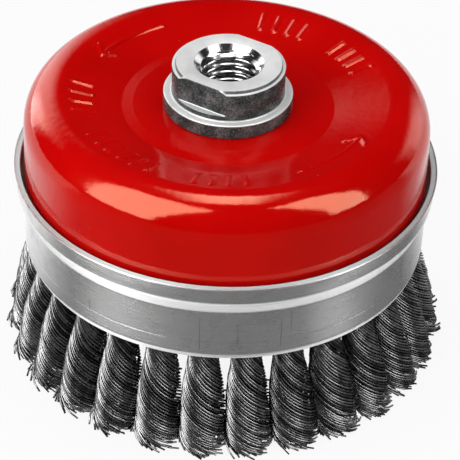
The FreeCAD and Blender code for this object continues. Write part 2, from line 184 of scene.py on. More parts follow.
# Turned and pressed pieces, from sections in the half plane (radius, height)
def rounded(corners, steps):
    """A polyline through corners (radius, height, bend), with an arc at each corner that has a bend."""
    points = [np.array(c[:2], float) for c in corners]
    line = []
    for i, (_, _, bend) in enumerate(corners):
        if not bend:
            line.append(points[i])
            continue
        back = points[i - 1] - points[i]
        ahead = points[i + 1] - points[i]
        back, ahead = back / np.linalg.norm(back), ahead / np.linalg.norm(ahead)
        half = math.acos(np.clip(back @ ahead, -1, 1)) / 2
        middle = (back + ahead) / np.linalg.norm(back + ahead)
        centre = points[i] + middle * bend / math.sin(half)
        start = points[i] + back * bend / math.tan(half) - centre
        end = points[i] + ahead * bend / math.tan(half) - centre
        for k in range(steps + 1):
            way = (start * math.sin((1 - k / steps) * (math.pi / 2 - half) * 2)
                   + end * math.sin(k / steps * (math.pi / 2 - half) * 2))
            line.append(centre + way * (bend / np.linalg.norm(way)))
    return np.array(line)


def inner_skin(line, thickness):
    """The line moved to its right by a sheet's thickness."""
    step = np.diff(line, axis=0)
    step /= np.linalg.norm(step, axis=1)[:, None]
    normal = np.stack([step[:, 1], -step[:, 0]], 1)
    before = np.vstack([normal[:1], normal])
    after = np.vstack([normal, normal[-1:]])
    mitre = before + after
    mitre /= (mitre * mitre).sum(1)[:, None] / 2
    return line + mitre * thickness


def finer(line, step, low=0.0, high=math.inf):
    """The line with its runs divided to at most a step, where their radius is from low to high."""
    out = [line[0]]
    for a, b in zip(line, line[1:]):
        inside = min(a[0], b[0]) < high and max(a[0], b[0]) > low
        count = max(1, math.ceil(np.linalg.norm(b - a) / step)) if inside else 1
        out += [a + (b - a) * k / count for k in range(1, count + 1)]
    return np.array(out)


def circle(angle, radius, height):
    """Points round the axis. Radius and height may be numbers or arrays that fit the angles."""
    return np.stack(np.broadcast_arrays(radius * np.cos(angle), radius * np.sin(angle), height), -1)


def wrapped(name, verts, sharp):
    """A piece from rows of points, closed both ways, with edges that are sharp from an angle in degrees."""
    rows, columns = verts.shape[:2]
    i, j = np.meshgrid(np.arange(rows), np.arange(columns), indexing="ij")
    up, on = (i + 1) % rows, (j + 1) % columns
    quads = np.stack([i * columns + j, i * columns + on, up * columns + on, up * columns + j], -1)
    obj = mesh_object(name, verts.reshape(-1, 3), [quads.reshape(-1, 4)])
    obj.data.set_sharp_from_angle(angle=math.radians(sharp))
    return obj


def turned(name, section, segments, shift):
    """A closed section turned about the axis. shift(points) moves the finished points."""
    area = np.sum(section[:, 0] * np.roll(section[:, 1], -1) - np.roll(section[:, 0], -1) * section[:, 1])
    if area < 0:
        section = section[::-1]
    angle = np.linspace(0, TAU, segments, endpoint=False)
    return wrapped(name, shift(circle(angle, section[:, :1], section[:, 1:])), 35)


def polar(verts):
    """Distance from the axis and direction of points."""
    return np.hypot(verts[..., 0], verts[..., 1]), np.arctan2(verts[..., 1], verts[..., 0])


def to_segment(u, v, ax, ay, bx, by):
    """Distance of points (u, v) to a straight stroke."""
    dx, dy = bx - ax, by - ay
    share = np.clip(((u - ax) * dx + (v - ay) * dy) / (dx * dx + dy * dy), 0, 1)
    return np.hypot(u - ax - share * dx, v - ay - share * dy)


def around(angle, middle):
    """Way round the mark circle from a direction, in millimetres."""
    return MARK_CIRCLE * ((angle - middle + math.pi) % TAU - math.pi)


def relief(radius, angle):
    """Height of the pressed marks over the dished ring."""
    v = radius - MARK_CIRCLE
    nearest = np.full(radius.shape, np.inf)
    for group in BAR_GROUPS:
        for bar in range(BARS_IN_GROUP):
            u = around(angle, group + bar * BAR_PITCH)
            nearest = np.minimum(nearest, to_segment(u, v, 0, -BAR_LENGTH / 2, 0, BAR_LENGTH / 2))
    for arrow in ARROWS:
        u, half = around(angle, arrow), MARK_CIRCLE * ARROW_LENGTH / 2
        nearest = np.minimum(nearest, to_segment(u, v, -half, 0, half, 0))
        for side in (-1, 1):
            nearest = np.minimum(nearest, to_segment(u, v, half, 0, half - ARROW_HEAD, side * ARROW_HEAD))
    share = np.clip((BAR_WIDTH + MARK_EDGE - nearest) / MARK_EDGE, 0, 1)
    return MARK_HEIGHT * share * share * (3 - 2 * share)


def make_cup(material):
    """Cup with a raised boss, a dished ring with pressed marks and a rounded shoulder."""
    foot_radius = BOSS_RADIUS + STEP_RUN
    crown_radius = CUP_EDGE_RADIUS - CUP_DRAFT
    crown = BOSS - STEP_DEPTH + (crown_radius - foot_radius) * math.tan(DISH_SLOPE)
    foot = BOSS - SOFT_STEP
    slope = math.atan2(crown - foot, crown_radius - foot_radius)
    skin = rounded([(SPIGOT_RADIUS + FIT_GAP, BOSS, None), (BOSS_RADIUS, BOSS, BOSS_BEND),
                    (foot_radius, foot, FOOT_BEND), (crown_radius, crown, SHOULDER_BEND),
                    (CUP_EDGE_RADIUS, CUP_EDGE, None)], CUP_ARC)
    outside = finer(finer(skin, RELIEF_STEP, RELIEF_LOW, RELIEF_HIGH), SKIN_STEP)
    section = np.vstack([outside, inner_skin(skin, CUP_SHEET)[::-1]])

    def press(verts):
        """The marks, on the outer skin alone."""
        radius, angle = polar(verts)
        low = foot + (radius - foot_radius) * math.tan(slope) - SKIN_DEPTH
        high = (radius > RELIEF_LOW) & (radius < RELIEF_HIGH) & (verts[..., 2] > low)
        height = np.where(high, relief(radius, angle), 0)
        verts[..., 2] += height * math.cos(slope)
        verts[..., 0] -= height * math.sin(slope) * np.cos(angle)
        verts[..., 1] -= height * math.sin(slope) * np.sin(angle)
        return verts

    finish_piece(turned("cup", section, CUP_SEGMENTS, press), "outer_cup", material)


def make_ring(material):
    """Ring with a sheared rim, a scribed line round its band and a rolled-in lower edge."""
    skin = rounded([(RIM_RADIUS, RING_TOP, None), (BAND_RADIUS + JOGGLE_STEP, JOGGLE_HIGH, JOGGLE_BEND),
                    (BAND_RADIUS, JOGGLE_LOW, JOGGLE_BEND),
                    (BAND_RADIUS, RING_LOW + LIP_LENGTH * math.cos(LIP_TURN), LIP_BEND),
                    (BAND_RADIUS - LIP_LENGTH * math.sin(LIP_TURN), RING_LOW, None)], RING_ARC)
    inside = inner_skin(skin, RING_SHEET)
    inside[0, 0] -= RIM_SPREAD
    above = skin[skin[:, 1] > SCRIBE_HEIGHT + SCRIBE_ROOM]
    below = skin[skin[:, 1] < SCRIBE_HEIGHT - SCRIBE_ROOM]
    scribe = [(BAND_RADIUS - depth, SCRIBE_HEIGHT + up) for depth, up in (
        (0, SCRIBE_ROOM), (0, SCRIBE_WIDTH), (SCRIBE_DEPTH, 0), (0, -SCRIBE_WIDTH), (0, -SCRIBE_ROOM))]
    section = np.vstack([inside[0] + RIM_INNER, above[0] + RIM_OUTER, above[1:], scribe, below[:-1],
                         below[-1] + HEM_OUTER, inside[-1] + HEM_INNER, inside[-2:0:-1]])

    def shear(verts):
        """A slightly wavy, burred rim."""
        _, angle = polar(verts)
        edge = np.clip((verts[..., 2] - RING_TOP + BURR_DEPTH) / BURR_DEPTH, 0, 1)
        torn = sum(math.cos(k * k) * np.sin(k * angle + 2.3 * k) for k in (57, 83, 131, 149, 211)) / 5
        bent = sum(math.sin(k) * np.sin(k * angle + 1.7 * k) for k in (2, 3, 5, 7)) / 4
        verts[..., 2] += edge * (BURR * torn + RIM_WAVE * bent - BURR)
        return verts

    finish_piece(turned("ring", section, RING_SEGMENTS, shear), "support_ring", material)


# Nut: a section turned about the axis, then cut by the two wrench flats and the thread
def nut_section():
    """The nut's outside from its swaged end up to the foot of its flats."""
    ledge = BOSS + FLANGE
    swage_top = SWAGE_END + SWAGE_HEIGHT
    swage = rounded([(MINOR_RADIUS + SWAGE_CONE, SWAGE_END, None), (SWAGE_RADIUS, SWAGE_END, 0.6),
                     (SWAGE_RADIUS, swage_top, 0.3), (SPIGOT_RADIUS, swage_top, None)], NUT_ARC)
    outside = rounded([(SPIGOT_RADIUS, swage_top, None), (SPIGOT_RADIUS, BOSS, None),
                       (FLANGE_RADIUS, BOSS, 0.35), (FLANGE_RADIUS, ledge, 0.4), (NUT_RADIUS, ledge, 0.5),
                       (NUT_RADIUS, ledge + FLAT_LEDGE, None)], NUT_ARC)
    return [*swage, *outside[1:]]


def flat_angles():
    """Directions round the nut, with one at each end of each flat."""
    angle = np.linspace(0, TAU, NUT_SEGMENTS, endpoint=False)
    half = math.acos(HALF_FLATS / NUT_RADIUS)
    for middle in (FLAT_AZIMUTH, FLAT_AZIMUTH + math.pi):
        for end in (middle - half, middle + half):
            angle[np.argmin(abs((angle - end + math.pi) % TAU - math.pi))] = end % TAU
    return np.sort(angle)


def thread_rows(angle, mouth_radius, mouth_height):
    """Rows of points down the bore: a cone into the thread, and the thread's flanks round the helix."""
    end_radius = MINOR_RADIUS + SWAGE_CONE
    turns = math.ceil((mouth_height - SWAGE_END) / PITCH) + 1
    rows = []
    for k in range(turns * THREAD_STEPS + 1):
        z = mouth_height + PITCH - k * PITCH / THREAD_STEPS - angle / TAU * PITCH
        phase = (k % THREAD_STEPS) / THREAD_STEPS
        flank = np.clip((abs(phase - 0.5) * 2 - ROOT_SHARE) / FLANK_SHARE, 0, 1)
        thread = MINOR_RADIUS + THREAD_DEPTH * (1 - flank)
        cones = np.maximum(mouth_radius - (mouth_height - z), end_radius - (z - SWAGE_END))
        radius = np.where(z >= mouth_height, mouth_radius,
                          np.where(z <= SWAGE_END, end_radius, np.maximum(thread, cones)))
        rows.append(circle(angle, radius, np.clip(z, SWAGE_END, mouth_height)))
    return rows


def make_nut(material):
    """Nut with wrench flats, broken edges and a real thread."""
    angle = flat_angles()
    across = np.maximum(abs(np.cos(angle - FLAT_AZIMUTH)), 1e-6)
    body = np.minimum(NUT_RADIUS, HALF_FLATS / across)
    flat_low = BOSS + FLANGE + FLAT_LEDGE
    cone = NUT_RADIUS - TOP_CHAMFER
    shoulder = NUT_TOP - np.maximum(body - cone, 0) * CHAMFER_FALL
    top_edge = np.minimum(body, cone)
    mouth = MINOR_RADIUS + COUNTERSINK
    mouth_radius, mouth_height = mouth - MOUTH_IN, NUT_TOP - MOUTH_DROP
    rows = nut_section() + [
        (np.minimum(body + EDGE_ROUND, NUT_RADIUS), flat_low),
        (body, flat_low + np.where(body < NUT_RADIUS - 1e-6, EDGE_ROUND, 0)),
        (body, shoulder - EDGE_ROUND),
        (body - EDGE_ROUND * 0.35, shoulder - EDGE_ROUND * 0.3),
        (np.minimum(body - EDGE_ROUND, top_edge + 0.1), np.minimum(shoulder + 0.05, NUT_TOP - 0.08)),
        (top_edge - EDGE_ROUND * 1.2, NUT_TOP),
        (mouth + MOUTH_OUT, NUT_TOP),
        (mouth_radius, mouth_height)]
    verts = np.stack([circle(angle, r, z) for r, z in rows] + thread_rows(angle, mouth_radius, mouth_height))
    finish_piece(wrapped("nut", verts, 28), "arbor_nut", material)


# Knots, at azimuth 0 until make_knot turns them
def knot_radius(z):
    return np.interp(z, *zip(*RADIUS_AT))


def wire_turn(z):
    """How far the wires have turned about the knot's axis at a height, from the rope's top down."""
    fine = np.linspace(ROPE_TOP, 0, TURN_SAMPLES)
    middle = (fine[1:] + fine[:-1]) / 2
    lay = np.interp(middle, *zip(*LAY_AT))
    turn = np.concatenate([[0], np.cumsum(lay / knot_radius(middle)) * (fine[0] - fine[1])])
    return np.interp(-z, -fine, turn)


def wave(rng, z, count, length):
    """Smooth random waves along each wire, about one in size, of a wave length in millimetres."""
    total = np.zeros(z.shape)
    for part in range(3):
        size = 1 / (1 + part)
        period = length / (1 + 0.8 * part) * rng.uniform(0.8, 1.25, (count, 1))
        total += size * np.sin(TAU * z / period + rng.uniform(0, TAU, (count, 1)))
    return total / 1.6


def groups_of(rng, count):
    """Groups of two to five neighbouring wires: each wire's group."""
    sizes = []
    while sum(sizes) < count:
        sizes.append(int(rng.integers(2, 6)))
    return np.repeat(np.arange(len(sizes)), sizes)[:count]


def either(rng, count, share, first, second):
    """Random numbers: for a share of them from the first range, and for the others from the second."""
    return np.where(rng.random(count) < share, rng.uniform(*first, count), rng.uniform(*second, count))


def within(paths, reach):
    """The paths with their points drawn in to at most a distance from the axis."""
    over = np.hypot(paths[..., 0], paths[..., 1]) / reach
    paths[..., :2] /= np.maximum(over, 1)[..., None]
    return paths


def rope_paths(rng, inset, count, steps):
    """Wires of one layer of the rope, from its top down to their tips."""
    ends = either(rng, count, EVEN_WIRES, EVEN_ENDS, SHORT_ENDS)
    z = ROPE_TOP + (ends[:, None] - ROPE_TOP) * np.linspace(0, 1, steps) ** STEP_CROWDING
    depth = np.clip(1 - z / ROPE_TOP, 0, 1)
    group = groups_of(rng, count)
    jitter = rng.uniform(-PLACE_JITTER, PLACE_JITTER, count)
    start = TAU * (np.arange(count) + jitter) / count + rng.uniform(0, 6)
    radius = knot_radius(z)
    scale = radius / knot_radius(0)
    rise, sway = (np.stack([wave(rng, z[:1], 1, length)[0] for _ in range(group.max() + 1)])[group]
                  for length in (RISE_LENGTH, SWAY_LENGTH))
    loose = TOP_LOOSENESS + (1 - TOP_LOOSENESS) * depth
    out = radius - inset * scale ** 0.5 + loose * (
        RISE * rise + OWN_RISE * wave(rng, z, count, OWN_RISE_LENGTH))
    out = np.minimum(out, radius - WIRE + LOOSEST * loose)
    angle = start[:, None] + wire_turn(z) + loose * (
        SWAY * sway + OWN_SWAY * wave(rng, z, count, OWN_SWAY_LENGTH)) / radius
    fray = np.clip(1 - z / FRAY_HEIGHT, 0, 1) ** FRAY_CURVE
    flare = either(rng, count, FRAYED_WIRES, FRAYED, TIDY)
    out = np.maximum(out + flare[:, None] * fray, INNERMOST)
    angle -= (np.clip(flare, 0, 2) * FRAY_LEAN + rng.normal(0.0, FRAY_TURN, count))[:, None] * fray
    spread = np.clip(1 - (ROPE_TOP - z) / MERGE, 0, 1)
    x = out * np.cos(angle) * (1 + (SPREAD - 1) * spread)
    y = out * np.sin(angle) * (1 - (1 - PINCH) * spread)
    centre = TIP_CIRCLE - z * math.tan(SPLAY)
    lip = np.clip((RING_LOW + LIP_HEIGHT - z) / LIP_HEIGHT, 0, 1) * LIP_INSET
    ring_skin = BAND_RADIUS - RING_SHEET - WIRE - RING_GAP - lip
    x = np.where(z > RING_LOW - RING_FOOT, np.minimum(centre + x, ring_skin), centre + x)
    return within(np.stack([x, y, z], -1), REACH - WIRE)


def fold_paths(tops):
    """The same wires from the punched hole's middle, over the skirt's edge, to the rope's top."""
    out = np.array([math.cos(SPLAY), 0, math.sin(SPLAY)])
    side = np.array([0.0, 1.0, 0.0])
    down = np.cross(side, out)
    height = SKIRT_EDGE + HOLE_HEIGHT
    middle = np.array([TIP_CIRCLE - height * math.tan(SPLAY), 0, height]) + down * FOLD
    x, y = tops[:, 0] - (TIP_CIRCLE - ROPE_TOP * math.tan(SPLAY)), tops[:, 1]
    leg = np.where(x >= 0, 1.0, -1.0)
    wide, narrow = ROOT_RADIUS * SPREAD, ROOT_RADIUS * PINCH
    reach = BUNDLE - WIRE
    a = (2 * np.clip(abs(x) / wide, 0, 1) - 1) * reach
    fill = y / (narrow * np.sqrt(np.clip(1 - (x / wide) ** 2, 0.02, 1)))
    b = np.clip(fill, -1, 1) * np.sqrt(np.clip(reach ** 2 - a ** 2, 0, None))
    rows = []
    for k in range(FOLD_STEPS + 1):
        bend = math.pi / 2 * (1 - k / FOLD_STEPS)
        rows.append(middle + out * (leg * (FOLD + a) * math.cos(bend))[:, None]
                    - down * ((FOLD + a) * math.sin(bend))[:, None] + side * b[:, None])
    straight = (middle[2] - ROPE_TOP) / -down[2]
    return np.stack(rows + [rows[-1] + down * (straight * share) for share in LEG_POINTS], 1)


def drawn(rng, setting):
    """A random number from a range, or the one number that there is."""
    return rng.uniform(*setting) if isinstance(setting, tuple) else setting


def stray_paths(rng):
    """The wires that have sprung out of one knot."""
    paths = []
    for kind in [kind for each in (CURL, HAIR) for kind in [each] * int(rng.integers(*each["count"]))]:
        z, angle = drawn(rng, kind["height"]), drawn(rng, kind["azimuth"])
        radius = float(knot_radius(z)) - STRAY_INSET
        centre = np.array([TIP_CIRCLE - z * math.tan(SPLAY), 0, z])
        outward = np.array([math.cos(angle), math.sin(angle), 0])
        along = np.array([-math.sin(angle), math.cos(angle), -drawn(rng, kind["lean"])])
        along /= np.linalg.norm(along)
        bend, sweep = drawn(rng, kind["bend"]), drawn(rng, kind["sweep"])
        t = np.linspace(STRAY_START, 1, STRAY_POINTS)[:, None] * sweep
        path = centre + outward * (radius + bend * (1 - np.cos(t)) * STRAY_RISE) + along * (bend * np.sin(t))
        path[:, 2] = np.maximum(path[:, 2], STRAY_LOWEST)
        paths.append(within(path, REACH - WIRE))
    return np.array(paths)


def tubes(paths, sides):
    """Round wires along paths (wire, point, xyz): vertices, side faces and end faces."""
    wires, points, _ = paths.shape
    tangent = np.gradient(paths, axis=1)
    tangent /= np.maximum(np.linalg.norm(tangent, axis=2, keepdims=True), 1e-9)
    normal = np.empty_like(paths)
    ahead = np.tile([0.0, 1.0, 0.0], (wires, 1))
    for p in range(points):
        ahead = ahead - (ahead * tangent[:, p]).sum(1, keepdims=True) * tangent[:, p]
        ahead /= np.maximum(np.linalg.norm(ahead, axis=1, keepdims=True), 1e-9)
        normal[:, p] = ahead
    across = np.cross(tangent, normal)
    angle = TAU * np.arange(sides) / sides
    verts = (paths[:, :, None] + WIRE * (np.cos(angle)[:, None] * normal[:, :, None]
                                         + np.sin(angle)[:, None] * across[:, :, None]))
    w, p, s = np.meshgrid(np.arange(wires), np.arange(points - 1), np.arange(sides), indexing="ij")
    first, following = (w * points + p) * sides, (w * points + p + 1) * sides
    turn = (s + 1) % sides
    quads = np.stack([first + s, first + turn, following + turn, following + s], -1).reshape(-1, 4)
    ring = np.arange(sides)
    starts = np.arange(wires)[:, None] * points * sides + ring[::-1]
    ends = (np.arange(wires)[:, None] * points + points - 1) * sides + ring
    return verts.reshape(-1, 3), quads, np.vstack([starts, ends])


def make_knot(index, material):
    """One knot of separate wires, each with its own random tone, and with painted shade that darkens the
    wires the deeper they lie in the knot.
    """
    rng = np.random.default_rng(SEED + index)
    families = []
    for inset, count, sides, steps in LAYERS:
        rope = rope_paths(rng, inset, count, steps)
        # Painted shade: the deeper a layer lies in the knot, the darker its wires.
        families.append((np.concatenate([fold_paths(rope[:, 0]), rope], 1), sides, 1 - inset / SHADE_DEPTH))
    families.append((stray_paths(rng), STRAY_SIDES, 1.0))
    verts, quads, caps, tones_and_shades, offset = [], [], {}, [], 0
    for paths, sides, depth_shading in families:
        points, side_faces, end_faces = tubes(paths, sides)
        points[:, 2] = np.maximum(points[:, 2], 0)
        verts.append(points)
        quads.append(side_faces + offset)
        caps.setdefault(sides, []).append(end_faces + offset)
        own_tone = either(rng, len(paths), DARK_WIRES, DARK, BRIGHT)
        tones_and_shades.append(np.repeat(max(depth_shading, 0) * own_tone, paths.shape[1] * sides))
        offset += len(points)
    faces = [np.vstack(quads)] + [np.vstack(group) for group in caps.values()]
    smooth = np.concatenate([np.ones(len(faces[0])), np.zeros(sum(len(f) for f in faces[1:]))])
    turn = np.array(Matrix.Rotation(FIRST_AZIMUTH + index * TAU / KNOTS, 3, "Z"))
    points = np.vstack(verts) @ turn.T
    low = np.clip(1 - points[:, 2] / SWEEP_HEIGHT, 0, 1)
    points[:, 0] += SWEEP * low * (1 - SWEEP_LOSS * abs(points[:, 1]) / REACH)
    knot = mesh_object("wires_%02d" % (index + 1), within(points, SWEPT_REACH), faces, smooth)
    tone_and_shade = knot.data.attributes.new("tone_and_shade", "FLOAT", "POINT")
    tone_and_shade.data.foreach_set("value", np.concatenate(tones_and_shades).astype(np.float32))
    finish_piece(knot, "knot_%02d" % (index + 1), material)


# Materials
WHITE = (1, 1, 1, 1)


def grey(value):
    return value, value, value, 1


class Graph:
    """Short ways to add nodes to a node tree. A source is a socket, a number or a colour."""

    def __init__(self, tree):
        self.nodes, self.links = tree.nodes, tree.links

    def feed(self, socket, source):
        if isinstance(source, bpy.types.NodeSocket):
            self.links.new(source, socket)
        else:
            socket.default_value = source

    def dress(self, shader, **sources):
        """Feeds a node's inputs by name, with an underscore for each space."""
        for name, source in sources.items():
            self.feed(shader.inputs[name.replace("_", " ")], source)

    def node(self, kind, *sources, **settings):
        """A new node with its settings, and the sources on its first inputs."""
        made = self.nodes.new("ShaderNode" + kind)
        for key, setting in settings.items():
            setattr(made, key, setting)
        for socket, source in zip(made.inputs, sources):
            self.feed(socket, source)
        return made

    def maths(self, operation, *sources):
        return self.node("Math", *sources, operation=operation).outputs[0]

    def plus(self, a, b):
        return self.maths("ADD", a, b)

    def minus(self, a, b):
        return self.maths("SUBTRACT", a, b)

    def times(self, a, b):
        return self.maths("MULTIPLY", a, b)

    def most(self, a, b):
        return self.maths("MAXIMUM", a, b)

    def measure(self, operation, *vectors):
        """A number that comes from vectors."""
        return self.node("VectorMath", *vectors, operation=operation).outputs["Value"]

    def mix(self, share, first, second):
        """The first colour or shader, and the second to a share."""
        kind = "MixShader" if first.type == "SHADER" else "MixRGB"
        return self.node(kind, share, first, second).outputs[0]

    def split(self, vector):
        return self.node("SeparateXYZ", vector).outputs

    def from_axis(self, x, y):
        return self.maths("SQRT", self.plus(self.times(x, x), self.times(y, y)))

    def between(self, source, low, high, new_low, new_high, **settings):
        """A straight step from new_low to new_high as the source goes from low to high."""
        return self.node("MapRange", source, low, high, new_low, new_high, **settings).outputs[0]

    def smooth(self, source, low, high, new_low=0.0, new_high=1.0):
        """Such a step with soft ends."""
        return self.between(source, low, high, new_low, new_high, interpolation_type="SMOOTHSTEP")

    def noise(self, vector, scale, detail, roughness=0.5):
        made = self.node("TexNoise")
        self.dress(made, Vector=vector, Scale=scale, Detail=detail, Roughness=roughness)
        return made.outputs[0]

    def lathe_lines(self, here, fine, slow):
        """Noise that changes fast along a turned section and slowly round it."""
        x, y, z = self.split(here)
        way = self.node("CombineXYZ", self.times(self.from_axis(x, y), fine), self.times(z, fine),
                        self.times(x, slow))
        return self.noise(way.outputs[0], 1, 4, 0.7)

    def ramp(self, source, *stops):
        """Colours against a value: stops are (place, colour)."""
        made = self.node("ValToRGB", source)
        elements = made.color_ramp.elements
        while len(elements) < len(stops):
            elements.new(0.5)
        for element, (where, colour) in zip(elements, stops):
            element.position = where
            element.color = colour if len(colour) == 4 else (*colour, 1)
        return made.outputs[0]

    def bump(self, height, distance, under=None):
        """Bumps of a height in metres, on top of others."""
        made = self.node("Bump")
        self.dress(made, Height=height, Distance=distance)
        if under is not None:
            self.feed(made.inputs["Normal"], under)
        return made.outputs[0]

    def seen_directly(self):
        """1 for what the camera sees, straight or in metal, and 0 for the light that falls on the brush."""
        path = self.node("LightPath").outputs
        mirrored = self.plus(path["Is Glossy Ray"], path["Is Transmission Ray"])
        return self.maths("MINIMUM", 1, self.plus(path["Is Camera Ray"], mirrored))

    def white_or(self, reflected):
        """White for the camera, and a dimmer reflected strength for what metal and enamel show."""
        return self.most(self.node("LightPath").outputs["Is Camera Ray"], reflected)


def new_material(name):
    """A material, the graph of its nodes, its shader, and the place and the normal on the piece."""
    material = bpy.data.materials.new(name)
    material.use_nodes = True
    graph = Graph(material.node_tree)
    spot = graph.node("TexCoord").outputs
    return material, graph, graph.nodes["Principled BSDF"], spot["Object"], spot["Normal"]


def paint_material():
    """Thick glossy red enamel that flowed a little before it set, with a few specks in it."""
    material, g, shader, here, _ = new_material("red_enamel")
    drift = g.noise(here, 60, 2)
    colour = g.ramp(drift, (0.3, (0.57, 0.0004, 0.0005)), (0.7, (0.65, 0.0006, 0.0007)))
    specks = g.ramp(g.noise(here, 900, 1), (0.8, grey(0)), (0.84, grey(1)))
    flow = g.bump(g.noise(here, 150, 2), 0.00008)
    orange_peel = g.bump(g.noise(here, 700, 3, 0.65), 0.00003, flow)
    g.dress(shader, Base_Color=g.mix(g.times(specks, 0.5), colour, (0.75, 0.12, 0.1, 1)),
            Roughness=g.between(drift, 0.3, 0.7, 0.06, 0.1), IOR=1.7,
            Specular_Tint=(0.8, 0.42, 0.25, 1), Normal=orange_peel)
    return material


def carrier_material():
    """Pressed steel with fine lines round the axis, a grain and stains."""
    material, g, shader, here, _ = new_material("pressed_steel")
    lines = g.lathe_lines(here, 4000, 30)
    patches = g.noise(here, 130, 4, 0.6)
    grain = g.noise(here, 3500, 3, 0.6)
    colour = g.ramp(patches, (0.32, (0.252, 0.252, 0.259)), (0.62, (0.36, 0.36, 0.37)))
    rough = g.plus(g.between(lines, 0.3, 0.7, 0.3, 0.44), g.between(patches, 0.3, 0.7, 0.06, -0.04))
    g.dress(shader, Base_Color=colour, Metallic=1, Roughness=rough,
            Normal=g.bump(grain, 0.000006, g.bump(lines, 0.000004)))
    return material


# Scuffs on the ring: direction in degrees, and lowest and highest point over the ring's lower edge
SCUFFS = [(-95.4, 2.0, 12.4), (-85.3, 3.9, 9.9), (-73.6, 2.6, 11.6), (-70.9, 6.4, 13.4),
          (-128.0, 4.4, 8.4), (-31.0, 5.4, 12.9)]
SCUFF_WIDTH, SCUFF_CORE, SCUFF_FOOT, SCUFF_HEAD = 0.0028, 0.0006, 1.0, 2.0
TILT_SHARE = 0.058      # takes off what an upward tilt adds to how far a face looks away from the axis


def ring_material():
    """Rolled zinc-coated sheet: fine lines round it, mottled stains, upright scuffs, a painted highlight
    whitening the joggle's bends and the lower lip, an inside with dull oxide and a torn, grainy rim."""
    material, g, shader, here, normal = new_material("rolled_steel")
    x, y, height = g.split(here)
    lines = g.lathe_lines(here, 3500, 25)
    grain = g.noise(here, 2400, 3, 0.7)
    patches = g.noise(here, 190, 5, 0.65)

    def band(*heights):
        """Where the ring's height lies between two soft limits, each given from outside to inside."""
        low, full_low, full_high, high = (level * MM for level in heights)
        return g.times(g.smooth(height, low, full_low), g.smooth(height, high, full_high))

    sheet = g.ramp(patches, (0.3, grey(0.72)), (0.48, (0.86, 0.86, 0.855)), (0.7, (0.93, 0.93, 0.925)))
    rim = g.smooth(height, (RING_TOP - 0.45) * MM, (RING_TOP - 0.3) * MM)
    ragged = g.plus(g.from_axis(x, y), g.times(0.0004, g.minus(grain, 0.5)))
    burr = g.smooth(ragged, (RIM_RADIUS - 0.42) * MM, (RIM_RADIUS - 0.2) * MM)
    colour = g.mix(rim, sheet, g.ramp(burr, (0.0, grey(0.3)), (0.5, grey(0.45)), (1.0, grey(0.85))))

    direction, scuffs = g.maths("ARCTAN2", y, x), 0.0
    for degrees, low, high in SCUFFS:
        off = g.maths("ABSOLUTE", g.minus(direction, math.radians(degrees)))
        bottom, top = RING_LOW + low, RING_LOW + high
        length = band(bottom, bottom + SCUFF_FOOT, top - SCUFF_HEAD, top)
        scuffs = g.most(scuffs, g.times(g.smooth(off, SCUFF_WIDTH, SCUFF_CORE), length))
    colour = g.mix(g.times(scuffs, 0.7), colour, grey(0.18))

    # Painted highlight: the joggle's bends and the lower lip are whitened and made less metallic, in place
    # of the bright reflections they show.
    bend = band(JOGGLE_LOW + 0.1, JOGGLE_LOW + 0.9, JOGGLE_HIGH + 0.1, JOGGLE_HIGH + 0.9)
    lip = g.smooth(height, (RING_LOW + 1.7) * MM, (RING_LOW + 0.7) * MM)
    painted_highlight = g.times(g.most(bend, lip), g.between(lines, 0.35, 0.5, 0.35, 1.0))
    colour = g.mix(painted_highlight, colour, grey(0.97))

    tilt = g.times(TILT_SHARE, g.most(0, g.split(normal)[2]))
    inner = g.smooth(g.minus(g.measure("DOT_PRODUCT", here, normal), tilt), -0.02, -0.035)
    inner = g.most(inner, g.times(rim, g.minus(1, burr)))
    colour = g.mix(inner, colour, (0.62, 0.86, 0.86, 1))

    dull = g.most(g.times(painted_highlight, 0.95), g.times(inner, 0.85))
    pale = g.most(g.times(rim, 0.2), g.times(painted_highlight, 0.45))
    rough = g.plus(g.between(lines, 0.3, 0.7, 0.22, 0.28), g.between(patches, 0.3, 0.7, 0.03, -0.02))
    torn = g.times(grain, g.plus(0.06, g.times(rim, 0.4)))
    g.dress(shader, Base_Color=colour, Metallic=g.minus(1, g.most(dull, 0.06)),
            Roughness=g.plus(rough, pale), Anisotropic=0.9, Anisotropic_Rotation=0.25,
            Tangent=g.node("Tangent", direction_type="RADIAL", axis="Z").outputs[0],
            Normal=g.bump(torn, 0.00008, g.bump(lines, 0.000005)))
    return material


def nut_material():
    """Zinc-plated steel: a turned, scratched top painted pale as lit, a polished countersink and grainy
    sides painted dark as shaded.
    """
    material, g, shader, here, normal = new_material("plated_steel")
    x, y, _ = g.split(here)
    lit_top = g.smooth(g.split(normal)[2], 0.2, 0.95)
    cone = g.smooth(g.from_axis(x, y), 7.9 * MM, 7.7 * MM)
    grain = g.noise(here, 2600, 4, 0.7)
    patches = g.noise(here, 260, 3, 0.6)
    mottle = g.plus(g.times(grain, 0.55), g.times(patches, 0.45))
    # Painted light and shade: faces that point up get a pale colour and the sides a dark one.
    sides = g.ramp(mottle, (0.38, (0.016, 0.026, 0.026)), (0.5, (0.05, 0.068, 0.068)),
                   (0.6, (0.16, 0.19, 0.19)))
    top = g.ramp(patches, (0.3, (0.74, 0.74, 0.735)), (0.6, (0.84, 0.84, 0.835)))
    rough = g.plus(g.between(lit_top, 0, 1, 0.26, 0.42), g.between(grain, 0.3, 0.7, -0.05, 0.05))
    fine = g.times(grain, g.minus(1, cone))
    g.dress(shader, Base_Color=g.mix(g.most(lit_top, cone), sides, g.mix(cone, top, grey(0.5))),
            Metallic=g.most(g.times(lit_top, 0.3), cone), Specular_IOR_Level=0.12,
            Roughness=g.times(rough, g.minus(1, g.times(cone, 0.65))),
            Normal=g.bump(fine, 0.000007, g.bump(g.lathe_lines(here, 5000, 40), 0.000004)))
    return material


